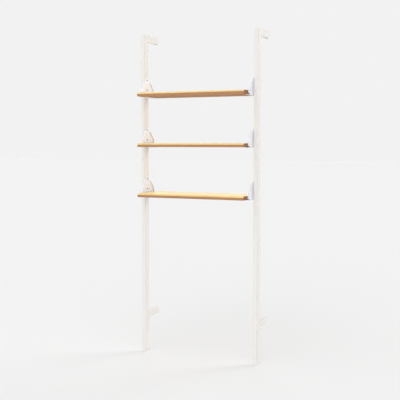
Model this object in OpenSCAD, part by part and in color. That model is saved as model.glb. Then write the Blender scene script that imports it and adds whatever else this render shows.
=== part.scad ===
// Wall-braced ladder shelf: two floor-standing tube uprights with arms back to
// the wall, and three wooden shelves held between them by folded steel brackets.
// X runs left to right, Y runs back towards the wall, Z is up. The origin is on
// the floor, in the middle of the width and of the depth.

/* [Overall] */
// Height from the floor to the top of the uprights
height = 2337; // [2150:1:2600]
// Width over the outer faces of the uprights
width = 914; // [500:1:1300]
// Depth from the front edges of the shelves to the wall
depth = 356; // [340:1:420]

/* [Tubes] */
// Width of the uprights and arms
tube_w = 30; // [28:1:40]
// Depth of an upright, front to back
post_d = 60; // [50:1:70]
// Height of an arm's section
arm_h = 50; // [46:1:60]
// Wall thickness of the tubes
tube_wall = 2; // [1.5:0.5:2.5]
// Outer corner radius of the tubes
tube_r = 3.5; // [3:0.5:5]
// Height of the lower arms' top face above the floor
low_arm_top = 300; // [150:1:600]

/* [Shelves] */
// Depth of a shelf, front to back
shelf_d = 300; // [270:1:310]
// Thickness of a shelf
shelf_t = 27; // [20:1:32]
// How far the shelves reach ahead of the uprights
shelf_reach = 144; // [120:1:150]
// Height of the lowest shelf's top face
low_shelf_top = 1191; // [700:1:1200]
// Distance from one shelf to the next
shelf_pitch = 360; // [240:1:370]
// Radius on the shelves' long edges
edge_r = 2.5; // [1:0.5:5]
// How far down the front edge the shelves' bevel reaches
bevel_drop = 10; // [4:1:12]
// How far back over the top face the bevel reaches
bevel_run = 16; // [6:1:24]

/* [Brackets] */
// Thickness of the brackets' steel
plate_t = 3; // [2:0.5:4]
// Reach of a bracket ahead of and behind the upright's centre line
bracket_reach = 97; // [85:1:110]
// Height of the upper screw above the shelf, which centres the rounded peak
peak_z = 99; // [85:1:140]
// Radius of the rounded peak
peak_r = 21; // [16:1:26]
// Height of the lower screw above the shelf
low_screw_z = 26; // [22:1:40]
// Height of the bracket's upright ends above the shelf
end_z = 33; // [25:1:50]
// Radius of the corners above the upright ends
corner_r = 12; // [8:1:18]
// Width of the inward rim along the front edge
rim_w = 17; // [10:1:20]
// Width of the narrower inward rim along the back edge
back_rim_w = 8; // [5:1:10]
// Width of the ledge under the shelf
ledge_w = 42; // [38:1:50]
// Distance from the centre line to each screw under the shelf
ledge_screw_y = 70; // [50:1:75]

/* [Fixings] */
// Diameter of the machine screws
bolt_d = 6; // [5:1:6]
// Diameter of the screws' button heads
bolt_head_d = 12; // [10:0.5:13]
// Diameter of the wood screws
wood_screw_d = 4; // [3.5:0.5:4.5]
// Diameter of the wall screw holes
wall_hole_d = 5.5; // [4.5:0.5:6]
// Distance between a cleat's two wall screw holes
wall_hole_pitch = 24; // [22:1:26]
// Length of a wall cleat
cleat_l = 30; // [25:1:40]
// Thickness of the foot pads
pad_t = 3; // [2:1:6]

/* [Hidden] */
$fn = 48;

frame_colour = "#EFEBE3";
bracket_colour = "#F0EEF1";
wood_colour = "#DDB471";
steel_colour = "#A9ABAE";
plastic_colour = "#E4E1DA";

left = -1;
right = 1;
bottom_level = 0;
middle_level = 1;
top_level = 2;
levels = [bottom_level, middle_level, top_level];

wall_y = depth / 2;
post_front = shelf_reach - depth / 2;
post_back = post_front + post_d;
post_mid = post_front + post_d / 2;
post_x = (width - tube_w) / 2;
inner_x = post_x - tube_w / 2;

cleat_gap = 0.3;
bore_gap = 0.05;
end_gap = 0.5;
cut = 1;

bolt_head_h = 3.3;
bolt_head_rim = 0.6;
hex_d = 4 / cos(30);
hex_depth = 2;
bracket_bolt_l = 14;
cleat_bolt_l = 8;
cleat_bolt_inset = 12;
cleat_bore_depth = 7;
countersink_d = 10.5;
countersink_h = 3;

nut_d = 9;
nut_l = 14;
nut_bulge_d = 12.5;
nut_bulge_l = 3;

wood_screw_l = 20;
wood_tip_l = 4;
wood_head_h = 2.4;
wood_head_d = 2 * wood_screw_d;
recess_w = 1;
recess_l = 4.4;
recess_depth = 1.3;
ledge_screw_x = ledge_w - 10;
ledge_corner_r = 8;
rim_top_z = peak_z - 8;

plug_l = 22;
plug_wall = 2;
fin_t = 1.2;
fin_count = 3;
fin_h = 1.4;
fin_gap = 0.1;
pad_step = 1;

function shelf_top(level) = low_shelf_top + level * shelf_pitch;

// ---- Shared shapes ----

// Rectangle centred on the origin with round corners
module round_rect(w, h, r) {
    square([w - 2 * r, h], center = true);
    square([w, h - 2 * r], center = true);
    for (x = [-1, 1], y = [-1, 1])
        translate([x * (w / 2 - r), y * (h / 2 - r)])
            circle(r);
}

// Section of a rectangular tube
module tube_section(w, h) {
    difference() {
        round_rect(w, h, tube_r);
        round_rect(w - 2 * tube_wall, h - 2 * tube_wall, tube_r - tube_wall);
    }
}

// Extrudes a side view, drawn as (Y, Z), along X from x0 to x1
module along_x(x0, x1) {
    translate([x0, 0, 0])
        rotate([90, 0, 90])
            linear_extrude(x1 - x0)
                children();
}

// Extrudes a front view, drawn as (X, Z), along Y from y0 to y1
module along_y(y0, y1) {
    translate([0, y1, 0])
        rotate([90, 0, 0])
            linear_extrude(y1 - y0)
                children();
}

// Turns what points along +Z so that it points outwards, along X, on one side
module facing_out(side) {
    rotate([0, side * 90, 0])
        children();
}

// Everything on one side of the mitre between an upright and its top arm
module mitre_half(above) {
    slope = arm_h / post_d;
    reach = 20;
    front = [post_front - reach, height + reach * slope];
    back = [post_back + reach, height - arm_h - reach * slope];
    far_z = above ? front[1] + cut : back[1] - cut;
    far_y = above ? back[0] : front[0];
    along_x(-width, width)
        polygon([front, back, [far_y, far_z]]);
}

// Button-head machine screw along +Z, with the underside of its head at z = 0
module button_screw(length) {
    dome_h = bolt_head_h - bolt_head_rim;
    head_r = bolt_head_d / 2;
    dome_r = (head_r * head_r + dome_h * dome_h) / (2 * dome_h);
    difference() {
        union() {
            cylinder(d = bolt_d, h = length);
            intersection() {
                translate([0, 0, -bolt_head_h])
                    cylinder(r = head_r, h = bolt_head_h);
                translate([0, 0, dome_r - bolt_head_h])
                    sphere(dome_r);
            }
        }
        translate([0, 0, -bolt_head_h - cut])
            cylinder(d = hex_d, h = hex_depth + cut, $fn = 6);
    }
}

// Pan-head wood screw along +Z, with the underside of its head at z = 0
module wood_screw() {
    difference() {
        union() {
            cylinder(d = wood_screw_d, h = wood_screw_l - wood_tip_l);
            translate([0, 0, wood_screw_l - wood_tip_l])
                cylinder(d1 = wood_screw_d, d2 = wood_screw_d / 5, h = wood_tip_l);
            translate([0, 0, -wood_head_h])
                cylinder(d1 = wood_head_d - 2, d2 = wood_head_d, h = 1);
            translate([0, 0, 1 - wood_head_h])
                cylinder(d = wood_head_d, h = wood_head_h - 1);
        }
        for (a = [0, 90])
            rotate([0, 0, a])
                translate([-recess_l / 2, -recess_w / 2, -wood_head_h - cut])
                    cube([recess_l, recess_w, recess_depth + cut]);
    }
}

// Puts a child at both bracket screw places of one level, on one side, on the
// upright's inner face and pointing into the upright
module at_bracket_screws(side, level) {
    for (z = [low_screw_z, peak_z])
        translate([side * inner_x, post_mid, shelf_top(level) + z])
            facing_out(side)
                children();
}

// Puts a child under a bracket's ledge at each screw place, pointing up
module at_ledge_screws(side, level) {
    for (y = [-ledge_screw_y, ledge_screw_y])
        translate([
            side * (inner_x - ledge_screw_x),
            post_mid + y,
            shelf_top(level) - shelf_t - plate_t
        ])
            children();
}

// ---- Frame ----

module upright(side) {
    color(frame_colour)
        difference() {
            translate([side * post_x, post_mid, pad_t])
                linear_extrude(height - pad_t)
                    tube_section(tube_w, post_d);
            mitre_half(above = true);
            for (level = levels)
                at_bracket_screws(side, level)
                    translate([0, 0, -cut])
                        cylinder(d = nut_d, h = tube_wall + 2 * cut);
        }
}

// Hole in an arm's underside for the screw that locks it to its cleat
module lock_hole(side, top_z) {
    translate([side * post_x, wall_y - cleat_bolt_inset, top_z - arm_h - cut])
        cylinder(d = bolt_d + 0.5, h = tube_wall + 2 * cut);
}

module top_arm(side) {
    color(frame_colour)
        difference() {
            along_y(post_front, wall_y)
                translate([side * post_x, height - arm_h / 2])
                    tube_section(tube_w, arm_h);
            mitre_half(above = false);
            lock_hole(side, height);
        }
}

module bottom_arm(side) {
    color(frame_colour)
        difference() {
            along_y(post_back, wall_y)
                translate([side * post_x, low_arm_top - arm_h / 2])
                    tube_section(tube_w, arm_h);
            lock_hole(side, low_arm_top);
        }
}

module foot_glide(side) {
    in_w = tube_w - 2 * tube_wall;
    in_d = post_d - 2 * tube_wall;
    color(plastic_colour)
        translate([side * post_x, post_mid, 0]) {
            linear_extrude(pad_step)
                round_rect(tube_w - 2 * pad_step, post_d - 2 * pad_step, tube_r);
            translate([0, 0, pad_step])
                linear_extrude(pad_t - pad_step)
                    round_rect(tube_w, post_d, tube_r);
            translate([0, 0, pad_t])
                linear_extrude(plug_l)
                    difference() {
                        round_rect(in_w - 2 * fin_h, in_d - 2 * fin_h, 2);
                        square([in_w - 2 * fin_h - 2 * plug_wall, in_d - 2 * fin_h - 2 * plug_wall],
                            center = true);
                    }
            for (i = [1:fin_count])
                translate([0, 0, pad_t + i * plug_l / (fin_count + 1)])
                    linear_extrude(fin_t)
                        difference() {
                            round_rect(in_w - 2 * fin_gap, in_d - 2 * fin_gap, tube_r - tube_wall);
                            square([in_w - 3 * fin_h, in_d - 3 * fin_h], center = true);
                        }
        }
}

// Block that screws to the wall and fills the open end of an arm
module wall_cleat(side, top_z) {
    w = tube_w - 2 * tube_wall - 2 * cleat_gap;
    h = arm_h - 2 * tube_wall - 2 * cleat_gap;
    mid_z = top_z - arm_h / 2;
    color(steel_colour)
        difference() {
            along_y(wall_y - cleat_l, wall_y)
                translate([side * post_x, mid_z])
                    round_rect(w, h, tube_r - tube_wall);
            for (z = [-wall_hole_pitch / 2, wall_hole_pitch / 2])
                translate([side * post_x, wall_y - cleat_l, mid_z + z])
                    rotate([-90, 0, 0]) {
                        translate([0, 0, -cut])
                            cylinder(d = wall_hole_d, h = cleat_l + 2 * cut);
                        cylinder(d1 = countersink_d, d2 = wall_hole_d, h = countersink_h);
                    }
            translate([side * post_x, wall_y - cleat_bolt_inset, mid_z - h / 2 - cut])
                cylinder(d = bolt_d + 2 * bore_gap, h = cleat_bore_depth + cut);
        }
}

module cleat_screws() {
    color(steel_colour)
        for (side = [left, right], top_z = [low_arm_top, height])
            translate([side * post_x, wall_y - cleat_bolt_inset, top_z - arm_h])
                button_screw(cleat_bolt_l);
}

// ---- Shelves ----

// Side view of a shelf, measured from its middle, with its front towards -Y
module shelf_side() {
    front = -shelf_d / 2;
    top_z = shelf_t / 2;
    slope = bevel_drop / bevel_run;
    difference() {
        round_rect(shelf_d, shelf_t, edge_r);
        polygon([
            [front - cut, top_z - bevel_drop - cut * slope],
            [front - cut, top_z + cut],
            [front + bevel_run + cut / slope, top_z + cut]
        ]);
    }
}

module shelf(level) {
    half_l = inner_x - rim_w - end_gap;
    color(wood_colour)
        difference() {
            along_x(-half_l, half_l)
                translate([(shelf_d - depth) / 2, shelf_top(level) - shelf_t / 2])
                    shelf_side();
            for (side = [left, right])
                at_ledge_screws(side, level)
                    cylinder(d = wood_screw_d, h = wood_screw_l);
        }
}

// Side view of a bracket, measured from the upright's centre line and the
// shelf's top, and drawn smaller by inset all round
module bracket_side(inset = 0) {
    run = bracket_reach - corner_r;
    corner_z = end_z - corner_r;
    rise = peak_z - corner_z;
    turn = 90 - atan2(rise, run) - asin((peak_r - corner_r) / norm([run, rise]));
    outwards = [cos(turn), sin(turn)];
    shoulder = [run, corner_z] + (corner_r - inset) * outwards;
    neck = [0, peak_z] + (peak_r - inset) * outwards;
    end_y = bracket_reach - inset;
    low_z = inset - shelf_t - plate_t;
    back_edge = [[end_y, low_z], [end_y, corner_z], shoulder, neck];
    front_edge = [for (i = [3:-1:0]) [-back_edge[i][0], back_edge[i][1]]];
    polygon(concat(back_edge, front_edge));
    translate([0, peak_z])
        circle(peak_r - inset);
    for (y = [-run, run])
        translate([y, corner_z])
            circle(corner_r - inset);
}

// Side view of the rim that is turned inwards along a bracket's edges
module rim_side() {
    difference() {
        bracket_side();
        bracket_side(plate_t);
        translate([-bracket_reach, rim_top_z])
            square([2 * bracket_reach, peak_z + peak_r]);
    }
}

// The front half of that rim, which is the wider one
module front_rim_side() {
    difference() {
        rim_side();
        translate([0, -shelf_t - plate_t - cut])
            square([bracket_reach + cut, peak_z + shelf_t + plate_t + cut]);
    }
}

// Plan of the ledge under the shelf, growing in +X from the bracket's plate
module ledge_plan() {
    r = ledge_corner_r;
    translate([0, -bracket_reach])
        square([ledge_w - r, 2 * bracket_reach]);
    translate([0, r - bracket_reach])
        square([ledge_w, 2 * (bracket_reach - r)]);
    for (y = [r - bracket_reach, bracket_reach - r])
        translate([ledge_w - r, y])
            circle(r);
}

// A left bracket, with its plate's outer face at x = 0 and the shelf's top at z = 0
module left_bracket() {
    hole_d = bolt_d + 0.6;
    difference() {
        union() {
            along_x(0, plate_t)
                bracket_side();
            along_x(0, back_rim_w)
                rim_side();
            along_x(0, rim_w)
                front_rim_side();
            translate([0, 0, -shelf_t - plate_t])
                linear_extrude(plate_t)
                    ledge_plan();
        }
        for (z = [low_screw_z, peak_z])
            translate([-cut, 0, z])
                rotate([0, 90, 0])
                    cylinder(d = hole_d, h = plate_t + 2 * cut);
        for (y = [-ledge_screw_y, ledge_screw_y])
            translate([ledge_screw_x, y, -shelf_t - plate_t - cut])
                cylinder(d = wood_screw_d + 0.5, h = plate_t + 2 * cut);
    }
}

module bracket(side, level) {
    color(bracket_colour)
        translate([side * inner_x, post_mid, shelf_top(level)])
            if (side == left)
                left_bracket();
            else
                mirror([1, 0, 0])
                    left_bracket();
}

// ---- Fasteners ----

module bracket_screws(level) {
    color(steel_colour)
        for (side = [left, right])
            at_bracket_screws(side, level)
                translate([0, 0, -plate_t])
                    button_screw(bracket_bolt_l);
}

module shelf_screws(level) {
    color(steel_colour)
        for (side = [left, right])
            at_ledge_screws(side, level)
                wood_screw();
}

// Threaded insert crimped into an upright's wall, flush with its face
module rivet_nut() {
    difference() {
        union() {
            cylinder(d = nut_d, h = nut_l);
            translate([0, 0, tube_wall])
                cylinder(d = nut_bulge_d, h = nut_bulge_l);
        }
        translate([0, 0, -cut])
            cylinder(d = bolt_d + 2 * bore_gap, h = nut_l + 2 * cut);
    }
}

module rivet_nuts(side) {
    color(steel_colour)
        for (level = levels)
            at_bracket_screws(side, level)
                rivet_nut();
}

// ---- Nodes ----

upright(left);  // left_upright
upright(right);  // right_upright
top_arm(left);  // top_left_arm
top_arm(right);  // top_right_arm
bottom_arm(left);  // bottom_left_arm
bottom_arm(right);  // bottom_right_arm
foot_glide(left);  // left_foot_glide
foot_glide(right);  // right_foot_glide
wall_cleat(left, height);  // top_left_wall_cleat
wall_cleat(right, height);  // top_right_wall_cleat
wall_cleat(left, low_arm_top);  // bottom_left_wall_cleat
wall_cleat(right, low_arm_top);  // bottom_right_wall_cleat
cleat_screws();
shelf(top_level);  // top_shelf
shelf(middle_level);  // middle_shelf
shelf(bottom_level);  // bottom_shelf
bracket(left, top_level);  // top_left_bracket
bracket(right, top_level);  // top_right_bracket
bracket(left, middle_level);  // middle_left_bracket
bracket(right, middle_level);  // middle_right_bracket
bracket(left, bottom_level);  // bottom_left_bracket
bracket(right, bottom_level);  // bottom_right_bracket
bracket_screws(top_level);  // top_bracket_screws
bracket_screws(middle_level);  // middle_bracket_screws
bracket_screws(bottom_level);  // bottom_bracket_screws
rivet_nuts(left);  // left_rivet_nuts
rivet_nuts(right);  // right_rivet_nuts
shelf_screws(top_level);  // top_shelf_screws
shelf_screws(middle_level);  // middle_shelf_screws
shelf_screws(bottom_level);  // bottom_shelf_screws
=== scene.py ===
import math

import bmesh
import bpy
from mathutils import Euler, Matrix, Vector
from mathutils.geometry import delaunay_2d_cdt


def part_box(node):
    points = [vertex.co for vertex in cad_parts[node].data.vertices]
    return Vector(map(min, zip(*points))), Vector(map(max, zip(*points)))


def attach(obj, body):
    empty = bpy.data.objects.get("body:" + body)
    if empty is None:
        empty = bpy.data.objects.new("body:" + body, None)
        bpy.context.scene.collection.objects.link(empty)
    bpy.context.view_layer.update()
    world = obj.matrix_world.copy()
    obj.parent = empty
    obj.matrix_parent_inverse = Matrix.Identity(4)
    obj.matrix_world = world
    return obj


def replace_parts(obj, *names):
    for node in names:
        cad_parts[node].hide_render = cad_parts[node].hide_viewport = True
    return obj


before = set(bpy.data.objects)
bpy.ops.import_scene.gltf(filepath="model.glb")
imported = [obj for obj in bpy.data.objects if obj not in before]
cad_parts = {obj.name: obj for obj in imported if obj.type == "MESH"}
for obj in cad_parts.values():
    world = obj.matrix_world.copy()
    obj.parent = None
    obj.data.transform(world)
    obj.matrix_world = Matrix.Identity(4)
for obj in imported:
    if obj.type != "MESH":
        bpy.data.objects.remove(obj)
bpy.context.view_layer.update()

# Shelf levels, from the frame
LOW_SHELF_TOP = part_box("bottom_shelf")[1].z
SHELF_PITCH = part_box("middle_shelf")[1].z - LOW_SHELF_TOP

# Brackets, in metres: heights are above the shelf's top
SHELF_T = 0.027
SHEET_T = 0.003
BEND_R = 0.0042
EDGE_R = 0.0005
BRACKET_REACH = 0.097
PEAK_Z = 0.099
PEAK_R = 0.021
SHOULDER_Z = 0.033
SHOULDER_R = 0.012
CORNER_R = 0.005
RELIEF = 0.002
RIM_W = 0.017
BACK_RIM_W = 0.008
RIM_LOW_Z = -0.0215
RIM_TOP_GAP = 0.004
RIM_FADE = 0.022
LEDGE_W = 0.042
LEDGE_CORNER_R = 0.008
LOW_SCREW_Z = 0.026
SCREW_HOLE_R = 0.0033

# How finely a bracket is divided: steps round its curves, and metres between points on its straight edges
PEAK_STEPS = 14
SHOULDER_STEPS = 10
CORNER_STEPS = 8
BEND_STEPS = 6
LIP_STEPS = 2
HOLE_STEPS = 24
SLOPE_SPACING = 0.002
EDGE_SPACING = 0.001

# Welds between uprights and arms, in metres
WELD_L = 0.024
WELD_SIZE = 0.0035
WELD_SINK = 0.0004
WELD_SPACING = 0.0007
WELD_STEPS = 8

# Unevenness of a weld: shares of its leg, the ripples' pitch in metres and the swell's radians to a metre
RIPPLE = 0.05
RIPPLE_PITCH = 0.0026
SWELL = 0.04
SWELL_RATE = 410
BULGE = 0.10
END_SQUARED = 0.03

# Meshes made here: points closer than this are one, and edges sharper than this stay hard
SAME_POINT = 1e-7
HARD_EDGE = math.radians(32)

# How far each kind of solid's sharp edges are rounded over, in metres
SOFT_EDGES = {
    "shelf": 0.0012,
    "foot_glide": 0.0005,
    "wall_cleat": 0.0006,
    "cleat_screws": 0.0002,
    "bracket_screws": 0.0002,
    "shelf_screws": 0.0001,
}
BEVEL_SEGMENTS = 3
BEVEL_FROM = math.radians(30)
NODE_SAME_POINT = 1e-6

# Camera: eye level, from the front right
CAMERA_PLACE = (2.463, -5.233, 1.560)
CAMERA_YAW = 25.18
CAMERA_PITCH = -4.11
CAMERA_LENS = 72.73
VIEW_DEPTH = 200.0

# Studio: each lobe of light has the direction it comes from, its tightness and its strength
LIGHT_LOBES = (
    ((0.1, -1.0, 0.35), 12.0, 3.3),
    ((0.7, -0.7, 0.2), 8.0, 0.5),
    ((-0.7, -0.7, 0.3), 4.0, 0.4),
    ((-1.0, 0.0, 0.3), 4.0, 1.2),
    ((0.55, 0.8, 0.2), 24.0, 11.5),
    ((0.0, 1.0, 0.3), 6.0, 2.2),
    ((-0.42, 0.9, 0.12), 12.0, 2.8),
    ((0.8, -0.6, 0.05), 30.0, 1.2),
    ((0.9, 0.45, 0.05), 30.0, 0.5),
    ((0.0, -0.4, 0.9), 4.0, 1.6),
)
BACKDROP = 0.888
FLOOR_COLOUR = 0.838
FLOOR_HALF = 60.0

# Colours of the finishes, as linear red, green and blue
FRAME_WHITE = (0.80, 0.775, 0.745)
FRAME_WORN = (0.74, 0.715, 0.675)
BRACKET_WHITE = (0.84, 0.84, 0.89)
BRACKET_WORN = (0.76, 0.76, 0.77)
PLASTIC_WHITE = (0.80, 0.78, 0.74)
PLASTIC_SCUFFED = (0.7, 0.68, 0.64)
ALUMINIUM = (0.70, 0.71, 0.72)
DARK_STEEL = (0.27, 0.27, 0.275)
YELLOW_ZINC = (0.58, 0.56, 0.50)
BRIGHT_STEEL = (0.56, 0.56, 0.56)
# The wood's top colours hold painted light, and its edge colours hold painted shade for the edges and the
# underside
EARLY_SHADED_EDGE = (0.48, 0.258, 0.134)
EARLY_LIT_TOP = (0.98, 0.765, 0.345)
LATE_SHADED_EDGE = (0.375, 0.178, 0.087)
LATE_LIT_TOP = (0.90, 0.64, 0.245)
HANDLED_WOOD = (0.50, 0.30, 0.14)

# Wood, in metres
STAVE_WIDTH = 0.075
RING_PITCH = 0.0042

# Which finish each node has, by how its name ends
SLOTS = {
    "upright": "frame_paint",
    "arm": "frame_paint",
    "bracket": "bracket_paint",
    "shelf": "shelf_wood",
    "foot_glide": "foot_plastic",
    "wall_cleat": "cleat_metal",
    "cleat_screws": "screw_steel",
    "bracket_screws": "screw_steel",
    "rivet_nuts": "insert_steel",
    "shelf_screws": "wood_screw_steel",
}


# ---- Node helpers ----

def add_node(tree, kind, sockets=None, **settings):
    """Adds a node, sets its properties, and sets or links the named input sockets."""
    node = tree.nodes.new(kind)
    for key, value in settings.items():
        setattr(node, key, value)
    for name, value in (sockets or {}).items():
        if isinstance(value, bpy.types.NodeSocket):
            tree.links.new(value, node.inputs[name])
        else:
            node.inputs[name].default_value = value
    return node


def calc(tree, operation, *values):
    """The output of a Math node."""
    return add_node(tree, "ShaderNodeMath", dict(enumerate(values)), operation=operation).outputs[0]


def vector_calc(tree, operation, *values):
    """The output of a Vector Math node."""
    node = add_node(tree, "ShaderNodeVectorMath", dict(enumerate(values)), operation=operation)
    return node.outputs["Value" if operation == "DOT_PRODUCT" else "Vector"]


def noise(tree, place, scale, detail=2.0, roughness=0.5):
    """A noise field from 0 to 1, with about as many blobs in a metre as its scale says."""
    sockets = {"Vector": place, "Scale": scale, "Detail": detail, "Roughness": roughness}
    return add_node(tree, "ShaderNodeTexNoise", sockets).outputs["Fac"]


def stretch(tree, place, scales):
    """The place multiplied along each axis."""
    return vector_calc(tree, "MULTIPLY", place, scales)


def remap(tree, value, low, high, to_low=0.0, to_high=1.0, smooth=False):
    """The value moved from one range to another and kept inside it."""
    sockets = {"Value": value, "From Min": low, "From Max": high, "To Min": to_low, "To Max": to_high}
    kind = "SMOOTHSTEP" if smooth else "LINEAR"
    return add_node(tree, "ShaderNodeMapRange", sockets, interpolation_type=kind).outputs[0]


def mix_colour(tree, amount, first, second, how="MIX"):
    """The two colours mixed. Each is a socket, or its red, green and blue."""
    first, second = ((*c, 1) if isinstance(c, tuple) else c for c in (first, second))
    sockets = {0: amount, 6: first, 7: second}
    return add_node(tree, "ShaderNodeMix", sockets, data_type="RGBA", blend_type=how).outputs[2]


def edge_mask(tree, radius):
    """1 along edges, fading to 0 on flat faces: it grows as the rounded normal turns from the real one."""
    flat, turned = 0.995, 0.85
    soft = add_node(tree, "ShaderNodeBevel", {"Radius": radius}, samples=6).outputs[0]
    sharp = add_node(tree, "ShaderNodeNewGeometry").outputs["Normal"]
    return remap(tree, vector_calc(tree, "DOT_PRODUCT", soft, sharp), flat, turned)


def add_bump(tree, height, depth):
    """A bump of the given depth in metres."""
    sockets = {"Height": height, "Distance": depth, "Strength": 1.0}
    return add_node(tree, "ShaderNodeBump", sockets).outputs[0]


def new_material(name):
    """A new material, its node tree, its shader and the place in the piece's own coordinates."""
    material = bpy.data.materials.new(name)
    material.use_nodes = True
    tree = material.node_tree
    tree.nodes.clear()
    shader = add_node(tree, "ShaderNodeBsdfPrincipled")
    output = tree.nodes.new("ShaderNodeOutputMaterial")
    tree.links.new(shader.outputs[0], output.inputs["Surface"])
    place = add_node(tree, "ShaderNodeTexCoord").outputs["Object"]
    return material, tree, shader, place


# ---- Materials ----

def powder_coat(name, colour, edge_colour, roughness, ior, grain):
    """Powder coat: a fine pebbled skin, slightly uneven in tone, and thinner along the edges."""
    material, tree, shader, place = new_material(name)
    patches = remap(tree, noise(tree, place, 7.0, detail=3.0), 0.3, 0.7, 0.975, 1.0)
    speckle = remap(tree, noise(tree, place, 900.0, detail=1.0), 0.3, 0.7, -0.008, 0.008)
    painted = mix_colour(tree, 1.0, colour, calc(tree, "ADD", patches, speckle), "MULTIPLY")
    rubbed = remap(tree, noise(tree, place, 60.0), 0.45, 0.75)
    worn = calc(tree, "MULTIPLY", edge_mask(tree, 0.0012), rubbed)
    tree.links.new(mix_colour(tree, worn, painted, edge_colour), shader.inputs["Base Color"])
    sheen = noise(tree, place, 35.0, detail=4.0)
    rough = remap(tree, sheen, 0.25, 0.75, roughness - 0.05, roughness + 0.06)
    tree.links.new(rough, shader.inputs["Roughness"])
    pebbles = noise(tree, place, grain, roughness=0.6)
    tree.links.new(add_bump(tree, pebbles, 0.00006), shader.inputs["Normal"])
    shader.inputs["IOR"].default_value = ior
    return material


def bare_metal(name, colour, roughness, brushed):
    """Unpainted metal with fine marks and a cloudy tone. brushed has the marks in a metre by axis."""
    material, tree, shader, place = new_material(name)
    marks = noise(tree, stretch(tree, place, brushed), 1.0, detail=3.0)
    cloud = noise(tree, place, 300.0)
    tone = remap(tree, calc(tree, "ADD", marks, cloud), 0.7, 1.3, 0.82, 1.06)
    tree.links.new(mix_colour(tree, 1.0, colour, tone, "MULTIPLY"), shader.inputs["Base Color"])
    rough = remap(tree, cloud, 0.3, 0.7, roughness - 0.07, roughness + 0.08)
    tree.links.new(rough, shader.inputs["Roughness"])
    tree.links.new(add_bump(tree, marks, 0.00001), shader.inputs["Normal"])
    shader.inputs["Metallic"].default_value = 1.0
    return material


def moulded_plastic(name, colour, scuffed_colour):
    """Moulded plastic with a fine spark-eroded texture, scuffed along its edges."""
    material, tree, shader, place = new_material(name)
    tone = remap(tree, noise(tree, place, 25.0, detail=3.0), 0.3, 0.7, 0.96, 1.0)
    scuffed = calc(tree, "MULTIPLY", edge_mask(tree, 0.001), noise(tree, place, 200.0))
    base = mix_colour(tree, 1.0, colour, tone, "MULTIPLY")
    tree.links.new(mix_colour(tree, scuffed, base, scuffed_colour), shader.inputs["Base Color"])
    tree.links.new(remap(tree, noise(tree, place, 90.0), 0.3, 0.7, 0.5, 0.62), shader.inputs["Roughness"])
    tree.links.new(add_bump(tree, noise(tree, place, 2500.0), 0.00003), shader.inputs["Normal"])
    return material


def wood_staves(tree, place):
    """The stave a place is in: its random picks, the place in its piece of the tree, how far that is
    from the stave's middle line, and how deep it lies under the board's top.
    """
    numbers_per_board, longest_shift = 17.0, 9.0
    axes = add_node(tree, "ShaderNodeSeparateXYZ", {0: place}).outputs
    half_pitch = SHELF_PITCH / 2
    above = calc(tree, "SUBTRACT", axes["Z"], LOW_SHELF_TOP - half_pitch)
    level = calc(tree, "FLOOR", calc(tree, "DIVIDE", above, SHELF_PITCH))
    height = calc(tree, "WRAP", axes["Z"], LOW_SHELF_TOP + half_pitch, LOW_SHELF_TOP - half_pitch)
    depth = calc(tree, "SUBTRACT", LOW_SHELF_TOP, height)

    across = calc(tree, "DIVIDE", calc(tree, "ADD", axes["Y"], 0.5), STAVE_WIDTH)
    first_number = calc(tree, "MULTIPLY", level, numbers_per_board)
    number = calc(tree, "ADD", calc(tree, "FLOOR", across), first_number)
    chance = add_node(tree, "ShaderNodeTexWhiteNoise", {"W": number}, noise_dimensions="1D").outputs
    picks = add_node(tree, "ShaderNodeSeparateColor", {0: chance["Color"]}).outputs
    along = calc(tree, "ADD", axes["X"], calc(tree, "MULTIPLY", chance["Value"], longest_shift))
    local = add_node(tree, "ShaderNodeCombineXYZ", {0: along, 1: axes["Y"], 2: axes["Z"]}).outputs[0]
    from_middle = calc(tree, "SUBTRACT", calc(tree, "FRACT", across), 0.5)
    return picks, local, calc(tree, "MULTIPLY", from_middle, STAVE_WIDTH), depth


def growth_rings(tree, picks, local, from_middle, depth):
    """How far a place is through its growth ring. The pith lies under the board and wanders along it."""
    drift = noise(tree, stretch(tree, local, (1.6, 0.0, 0.0)), 1.0, detail=1.0)
    side = calc(tree, "ADD", from_middle, remap(tree, picks[0], 0.0, 1.0, -0.045, 0.045))
    side = calc(tree, "ADD", side, remap(tree, drift, 0.0, 1.0, -0.03, 0.03))
    dip = noise(tree, stretch(tree, local, (2.3, 3.0, 3.0)), 1.0)
    below = calc(tree, "SUBTRACT", remap(tree, picks[1], 0.0, 1.0, 0.05, 0.12), depth)
    below = calc(tree, "ADD", below, remap(tree, dip, 0.2, 0.8, -0.02, 0.02))
    spread = calc(tree, "ADD", calc(tree, "MULTIPLY", side, side), calc(tree, "MULTIPLY", below, below))
    waver = noise(tree, stretch(tree, local, (9.0, 70.0, 70.0)), 1.0)
    radius = calc(tree, "ADD", calc(tree, "SQRT", spread), remap(tree, waver, 0.2, 0.8, -0.0011, 0.0011))
    return calc(tree, "FRACT", calc(tree, "DIVIDE", radius, RING_PITCH))


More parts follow.
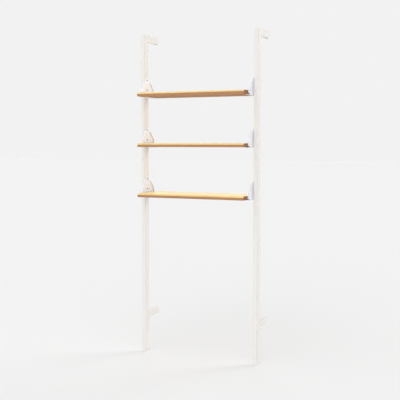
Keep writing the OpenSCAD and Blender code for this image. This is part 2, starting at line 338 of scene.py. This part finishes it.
def shelf_wood(name):
    """Blonde hardwood with a satin finish: glued staves with growth rings, pores and end grain, with
    painted light on the top and painted shade on the edges, the underside and the ends.
    """
    material, tree, shader, place = new_material(name)
    picks, local, from_middle, depth = wood_staves(tree, place)
    turn = growth_rings(tree, picks, local, from_middle, depth)
    rise = remap(tree, turn, 0.25, 0.95, smooth=True)
    latewood = calc(tree, "MULTIPLY", rise, remap(tree, turn, 1.0, 0.95))

    # Fibres and pores run along the board
    fibres = noise(tree, stretch(tree, local, (14.0, 620.0, 620.0)), 1.0, detail=3.0, roughness=0.6)
    streaks = noise(tree, stretch(tree, local, (3.0, 110.0, 110.0)), 1.0)
    pores = noise(tree, stretch(tree, local, (42.0, 1500.0, 1500.0)), 1.0, detail=1.0)
    pores = calc(tree, "MULTIPLY", remap(tree, pores, 0.60, 0.70), remap(tree, turn, 0.55, 0.1))

    # Painted light and shade: the top is coloured paler than the edges and the underside, as if lit from
    # above, and the end grain is darkest, partly as real end grain and partly as painted shade
    true_normal = add_node(tree, "ShaderNodeNewGeometry").outputs["True Normal"]
    normal = add_node(tree, "ShaderNodeSeparateXYZ", {0: true_normal}).outputs
    face = remap(tree, normal["Z"], 0.15, 0.75, smooth=True)
    # The end faces are darkened partly as real end grain and partly as painted shade, and are also made
    # duller
    end_grain_and_shade = remap(tree, calc(tree, "ABSOLUTE", normal["X"]), 0.5, 0.8)

    # Painted light on the top face and painted shade on the edges and underside, chosen by which way each
    # face points
    early = mix_colour(tree, face, EARLY_SHADED_EDGE, EARLY_LIT_TOP)
    late = mix_colour(tree, face, LATE_SHADED_EDGE, LATE_LIT_TOP)
    colour = mix_colour(tree, calc(tree, "MULTIPLY", latewood, 0.75), early, late)
    shade = remap(tree, fibres, 0.25, 0.75, 0.93, 1.05)
    for tone in (
        remap(tree, streaks, 0.25, 0.75, 0.95, 1.04),
        remap(tree, picks[2], 0.0, 1.0, 0.93, 1.04),
        remap(tree, pores, 0.0, 1.0, 1.0, 0.72),
        remap(tree, end_grain_and_shade, 0.0, 1.0, 1.0, 0.66),
    ):
        shade = calc(tree, "MULTIPLY", shade, tone)
    colour = mix_colour(tree, 1.0, colour, shade, "MULTIPLY")
    handled = calc(tree, "MULTIPLY", edge_mask(tree, 0.002), 0.25)
    tree.links.new(mix_colour(tree, handled, colour, HANDLED_WOOD), shader.inputs["Base Color"])

    dull_ends = calc(tree, "MULTIPLY", end_grain_and_shade, 0.12)
    rough = calc(tree, "ADD", remap(tree, fibres, 0.2, 0.8, 0.44, 0.56), dull_ends)
    tree.links.new(rough, shader.inputs["Roughness"])
    # Lacquer shines on the top face, and the rest is only oiled
    tree.links.new(remap(tree, face, 0.0, 1.0, 1.08, 1.25), shader.inputs["IOR"])
    relief = calc(tree, "SUBTRACT", calc(tree, "MULTIPLY", fibres, 0.5), pores)
    tree.links.new(add_bump(tree, relief, 0.00007), shader.inputs["Normal"])
    return material


# ---- Studio ----

def light_lobe(tree, towards, direction, tightness, strength):
    """Soft light from one part of the sky, as a cosine lobe."""
    facing = vector_calc(tree, "DOT_PRODUCT", towards, tuple(Vector(direction).normalized()))
    falloff = calc(tree, "POWER", calc(tree, "MAXIMUM", facing, 0.0), tightness)
    return calc(tree, "MULTIPLY", falloff, strength)


def light_studio(lobes, backdrop):
    """A pale backdrop all round for the camera, and soft lobes of light for everything else."""
    world = bpy.data.worlds.new("studio")
    bpy.context.scene.world = world
    world.use_nodes = True
    tree = world.node_tree
    tree.nodes.clear()
    towards = add_node(tree, "ShaderNodeTexCoord").outputs["Generated"]
    light = 0.0
    for direction, tightness, strength in lobes:
        light = calc(tree, "ADD", light, light_lobe(tree, towards, direction, tightness, strength))
    seen = add_node(tree, "ShaderNodeLightPath").outputs["Is Camera Ray"]
    lit = add_node(tree, "ShaderNodeBackground", {"Strength": light})
    shown = add_node(tree, "ShaderNodeBackground", {"Color": (backdrop,) * 3 + (1,)})
    mixed = add_node(tree, "ShaderNodeMixShader", {0: seen, 1: lit.outputs[0], 2: shown.outputs[0]})
    output = tree.nodes.new("ShaderNodeOutputWorld")
    tree.links.new(mixed.outputs[0], output.inputs["Surface"])


def make_floor(colour):
    """A plain pale floor that meets the backdrop at the horizon."""
    mesh = bpy.data.meshes.new("floor")
    corners = [(x * FLOOR_HALF, y * FLOOR_HALF, 0) for x, y in ((-1, -1), (1, -1), (1, 1), (-1, 1))]
    mesh.from_pydata(corners, [], [(0, 1, 2, 3)])
    floor = bpy.data.objects.new("floor", mesh)
    bpy.context.scene.collection.objects.link(floor)
    material = bpy.data.materials.new("floor")
    material.use_nodes = True
    tree = material.node_tree
    tree.nodes.clear()
    matt = add_node(tree, "ShaderNodeBsdfDiffuse", {"Color": (colour, colour, colour, 1), "Roughness": 0.0})
    output = tree.nodes.new("ShaderNodeOutputMaterial")
    tree.links.new(matt.outputs[0], output.inputs["Surface"])
    mesh.materials.append(material)


def make_camera():
    """The viewpoint of the photograph."""
    data = bpy.data.cameras.new("camera")
    data.lens = CAMERA_LENS
    data.clip_end = VIEW_DEPTH
    camera = bpy.data.objects.new("camera", data)
    camera.location = CAMERA_PLACE
    # Unturned, a camera looks straight down
    camera.rotation_euler = Euler((math.radians(90 + CAMERA_PITCH), 0, math.radians(CAMERA_YAW)))
    bpy.context.scene.collection.objects.link(camera)
    bpy.context.scene.camera = camera


# ---- Formed brackets ----

def arc(centre, radius, start, end_grain_and_shade, steps):
    """Points along an arc in (y, z), each with its outward direction. The angles are in radians."""
    points = []
    for i in range(steps + 1):
        angle = start + (end_grain_and_shade - start) * i / steps
        out = Vector((math.cos(angle), math.sin(angle)))
        points.append((Vector(centre) + out * radius, out))
    return points


def line(start, end_grain_and_shade, out, spacing):
    """Points between two ends, but not the ends themselves, that all face the same way."""
    start, end_grain_and_shade = Vector(start), Vector(end_grain_and_shade)
    count = max(1, round((end_grain_and_shade - start).length / spacing))
    return [(start.lerp(end_grain_and_shade, i / count), out) for i in range(1, count)]


def bracket_outline():
    """The bracket's edge from the middle of its peak down the back, under, and up the front.

    Gives (point, outward direction) pairs in (y, z), from the upright's centre line and the shelf's top.
    """
    run = BRACKET_REACH - SHOULDER_R
    shoulder_z = SHOULDER_Z - SHOULDER_R
    lean = math.atan2(PEAK_Z - shoulder_z, run)
    tilt = math.pi / 2 - lean - math.asin((PEAK_R - SHOULDER_R) / math.hypot(run, PEAK_Z - shoulder_z))
    low = -SHELF_T - SHEET_T + CORNER_R
    peak = arc((0, PEAK_Z), PEAK_R, math.pi / 2, tilt, PEAK_STEPS)
    shoulder = arc((run, shoulder_z), SHOULDER_R, tilt, 0, SHOULDER_STEPS)
    corner = arc((BRACKET_REACH - CORNER_R, low), CORNER_R, 0, -math.pi / 2, CORNER_STEPS)
    slope = line(peak[-1][0], shoulder[0][0], peak[-1][1], SLOPE_SPACING)
    upright = line(shoulder[-1][0], corner[0][0], Vector((1, 0)), EDGE_SPACING)
    under = line(corner[-1][0], (0, low - CORNER_R), Vector((0, -1)), EDGE_SPACING)
    back = peak + slope + shoulder + upright + corner + under
    under_middle = [(Vector((0, low - CORNER_R)), Vector((0, -1)))]
    front = [(Vector((-p.x, p.y)), Vector((-n.x, n.y))) for p, n in reversed(back[1:])]
    return back + under_middle + front


def ramp(value, low, high):
    """0 below low, 1 above high, and smooth between them."""
    t = min(max((value - low) / (high - low), 0.0), 1.0)
    return t * t * (3 - 2 * t)


def flange_width(point, out):
    """How far the sheet is turned in at one place on the outline. It is 0 where the edge is left plain."""
    on_underside = out.y < -0.99
    on_lower_corner = out.y < -0.01
    if on_underside:
        from_end = BRACKET_REACH - CORNER_R - RELIEF - abs(point.x)
        if from_end < 0:
            return 0.0
        missing = max(LEDGE_CORNER_R - from_end, 0.0)
        return LEDGE_W - LEDGE_CORNER_R + math.sqrt(LEDGE_CORNER_R ** 2 - missing ** 2)
    if on_lower_corner or point.y < RIM_LOW_Z:
        return 0.0
    width = RIM_W if point.x < 0 else BACK_RIM_W
    return width * ramp(PEAK_Z - RIM_TOP_GAP - point.y, 0.0, RIM_FADE)


def quarter_turn(steps):
    """(1 - cos, 1 - sin) of the angles from 0 to a right angle, in even steps."""
    angles = (math.pi / 2 * i / steps for i in range(steps + 1))
    return [(1 - math.cos(a), 1 - math.sin(a)) for a in angles]


def flange_profile(width):
    """Section across the sheet's edge as (inset, x) pairs, from its outer face round to its inner face.

    Where the edge is left plain, the points that a bend would need are spread over the strip beside it.
    """
    bent = min(max((width - SHEET_T) / (BEND_R - SHEET_T), 0.0), 1.0)
    width = max(width, SHEET_T)
    outer_r = EDGE_R + (BEND_R - EDGE_R) * bent
    inner_r = BEND_R - SHEET_T
    strip = BEND_R - EDGE_R
    lip, bend = quarter_turn(LIP_STEPS), quarter_turn(BEND_STEPS)
    inner_points = len(lip) + len(bend)

    section = [(outer_r * s, outer_r * c) for c, s in bend]
    section += [(EDGE_R * c, width - EDGE_R * s) for c, s in lip]
    for i, (c, s) in enumerate(lip):
        plain_point = Vector((EDGE_R + strip * (i + 1) / (inner_points - 1), width))
        bent_point = Vector((SHEET_T - EDGE_R * s, width - EDGE_R * c))
        section.append(tuple(plain_point.lerp(bent_point, bent)))
    for i, (c, s) in enumerate(bend):
        plain_point = Vector((EDGE_R + strip * (i + 1 + len(lip)) / inner_points, SHEET_T))
        bent_point = Vector((SHEET_T + inner_r * c, SHEET_T + inner_r * s))
        section.append(tuple(plain_point.lerp(bent_point, bent)))
    return section


def hole_loop(z):
    """Points in (y, z) round a screw hole on the bracket's centre line."""
    turns = (2 * math.pi * i / HOLE_STEPS for i in range(HOLE_STEPS))
    return [Vector((SCREW_HOLE_R * math.cos(a), z + SCREW_HOLE_R * math.sin(a))) for a in turns]


def fill_between(outline, holes):
    """Triangles between a clockwise outline and the holes in it, as indices into all their points."""
    inside_loops, tolerance = 1, 1e-9
    points = list(outline)
    loops = [list(range(len(outline)))[::-1]]
    for hole in holes:
        loops.append(list(range(len(points), len(points) + len(hole))))
        points.extend(hole)
    result = delaunay_2d_cdt(points, [], loops, inside_loops, tolerance)
    _, _, triangles, origins, _, owners = result
    kept = (triangle for triangle, owner in zip(triangles, owners) if owner == [0])
    return [[origins[k][0] for k in triangle] for triangle in kept]


def bracket_mesh(name, side):
    """A bracket folded from one sheet: a plate with its edges turned in as a rim and, below, as a ledge."""
    outline = bracket_outline()
    sections = [flange_profile(flange_width(point, out)) for point, out in outline]
    rows, depth = len(outline), len(sections[0])
    vertices, faces = [], []
    for (point, out), section in zip(outline, sections):
        for inset, x in section:
            place = point - out * inset
            vertices.append((x, place.x, place.y))
    for i in range(rows):
        following = (i + 1) % rows
        for j in range(depth - 1):
            near, far = i * depth + j, following * depth + j
            faces.append((near, near + 1, far + 1, far))

    holes = [hole_loop(z) for z in (LOW_SCREW_Z, PEAK_Z)]
    walls = []
    for x, column in ((0.0, 0), (SHEET_T, depth - 1)):
        indices = [i * depth + column for i in range(rows)]
        rim = [Vector(vertices[k][1:]) for k in indices]
        for hole in holes:
            first = len(vertices)
            vertices.extend((x, p.x, p.y) for p in hole)
            walls.append(range(first, first + len(hole)))
            indices.extend(walls[-1])
        faces.extend(tuple(indices[k] for k in triangle) for triangle in fill_between(rim, holes))
    for near, far in ((walls[0], walls[2]), (walls[1], walls[3])):
        for k in range(len(near)):
            after = (k + 1) % len(near)
            faces.append((near[k], near[after], far[after], far[k]))

    if side > 0:
        vertices = [(-x, y, z) for x, y, z in vertices]
    mesh = bpy.data.meshes.new(name)
    mesh.from_pydata(vertices, [], faces)
    mesh.validate()
    tidy_normals(mesh)
    return mesh


def tidy_normals(mesh):
    """Turns every face outwards and shades the mesh smooth, with hard edges left hard."""
    shape = bmesh.new()
    shape.from_mesh(mesh)
    bmesh.ops.remove_doubles(shape, verts=shape.verts, dist=SAME_POINT)
    bmesh.ops.recalc_face_normals(shape, faces=shape.faces)
    shape.to_mesh(mesh)
    shape.free()
    mesh.shade_smooth()
    mesh.set_sharp_from_angle(angle=HARD_EDGE)


def add_piece(name, mesh, place, slot):
    """Puts a piece in the scene, riding on the part, with its slot's material."""
    piece = bpy.data.objects.new(name, mesh)
    piece.location = place
    bpy.context.scene.collection.objects.link(piece)
    mesh.materials.append(MATERIALS[slot])
    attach(piece, "root")
    return piece


def weld_bead(name, phase):
    """A painted weld along X that fills an inside corner, with its legs along +Y and -Z."""
    count = round(WELD_L / WELD_SPACING)
    vertices, faces = [], []
    for i in range(count + 1):
        t = i / count
        x = (t - 0.5) * WELD_L
        from_end = min(t, 1 - t) * WELD_L
        leg = WELD_SIZE * math.sqrt(min(from_end / (2 * WELD_SIZE) + END_SQUARED, 1.0))
        ripple = RIPPLE * math.sin(2 * math.pi * x / RIPPLE_PITCH + phase)
        leg *= 1 + ripple + SWELL * math.sin(x * SWELL_RATE + 2 * phase)
        vertices.append((x, -WELD_SINK, WELD_SINK))
        for j in range(WELD_STEPS + 1):
            a = math.pi / 2 * j / WELD_STEPS
            bulge = 1 / (math.cos(a) + math.sin(a)) * (1 + BULGE * math.sin(2 * a))
            vertices.append((x, leg * bulge * math.cos(a), -leg * bulge * math.sin(a)))
    width = WELD_STEPS + 2
    for i in range(count):
        near, far = i * width, (i + 1) * width
        for j in range(width):
            k = (j + 1) % width
            faces.append((near + j, near + k, far + k, far + j))
    faces.append(tuple(range(width)))
    faces.append(tuple(range(count * width, (count + 1) * width)))
    mesh = bpy.data.meshes.new(name)
    mesh.from_pydata(vertices, [], faces)
    tidy_normals(mesh)
    return mesh


def add_welds():
    """Puts the weld seams in the corners between each upright and its arms."""
    for side_name in ("left", "right"):
        low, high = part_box(f"{side_name}_upright")
        for level in ("top", "bottom"):
            arm_low, arm_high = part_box(f"{level}_{side_name}_arm")
            corners = {"under": (arm_low.z, 1)}
            if level == "bottom":
                corners["over"] = (arm_high.z, -1)
            for where, (z, facing) in corners.items():
                name = f"{level}_{side_name}_weld_{where}"
                # The ripples start at a different point in each bead
                phase = 1.7 * len(name) + facing
                mesh = weld_bead(name, phase)
                if facing < 0:
                    mesh.transform(Matrix.Rotation(math.pi, 4, "Y"))
                add_piece(name, mesh, ((low.x + high.x) / 2, high.y, z), "frame_paint")


def add_brackets():
    """Stands a folded bracket in for each of the plain ones."""
    for level in ("top", "middle", "bottom"):
        for side_name, side in (("left", -1), ("right", 1)):
            node = f"{level}_{side_name}_bracket"
            low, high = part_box(node)
            name = f"{level}_{side_name}_folded_bracket"
            outer_x = low.x if side < 0 else high.x
            place = (outer_x, (low.y + high.y) / 2, low.z + SHELF_T + SHEET_T)
            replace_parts(add_piece(name, bracket_mesh(name, side), place, "bracket_paint"), node)


# ---- Assembly ----

def finish_nodes():
    """Gives every CAD node its material, and softens the edges that are sharp in the solids."""
    for name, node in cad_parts.items():
        ending = max((e for e in SLOTS if name.endswith(e)), key=len)
        node.data.materials.clear()
        node.data.materials.append(MATERIALS[SLOTS[ending]])
        if ending in SOFT_EDGES:
            weld = node.modifiers.new("weld", "WELD")
            weld.merge_threshold = NODE_SAME_POINT
            bevel = node.modifiers.new("bevel", "BEVEL")
            bevel.width = SOFT_EDGES[ending]
            bevel.segments = BEVEL_SEGMENTS
            bevel.limit_method = "ANGLE"
            bevel.angle_limit = BEVEL_FROM
            bevel.harden_normals = True


make_camera()
light_studio(LIGHT_LOBES, BACKDROP)
make_floor(FLOOR_COLOUR)

MATERIALS = {
    "frame_paint": powder_coat(
        "frame_paint", FRAME_WHITE, FRAME_WORN, roughness=0.72, ior=1.25, grain=700.0),
    "bracket_paint": powder_coat(
        "bracket_paint", BRACKET_WHITE, BRACKET_WORN, roughness=0.6, ior=1.3, grain=800.0),
    "shelf_wood": shelf_wood("shelf_wood"),
    "foot_plastic": moulded_plastic("foot_plastic", PLASTIC_WHITE, PLASTIC_SCUFFED),
    "cleat_metal": bare_metal("cleat_metal", ALUMINIUM, roughness=0.45, brushed=(400.0, 400.0, 400.0)),
    "screw_steel": bare_metal("screw_steel", DARK_STEEL, roughness=0.38, brushed=(900.0, 200.0, 200.0)),
    "insert_steel": bare_metal("insert_steel", YELLOW_ZINC, roughness=0.4, brushed=(200.0, 900.0, 200.0)),
    "wood_screw_steel": bare_metal(
        "wood_screw_steel", BRIGHT_STEEL, roughness=0.36, brushed=(300.0, 300.0, 900.0)),
}
finish_nodes()
add_brackets()
add_welds()

bpy.context.scene.view_settings.view_transform = "Standard"
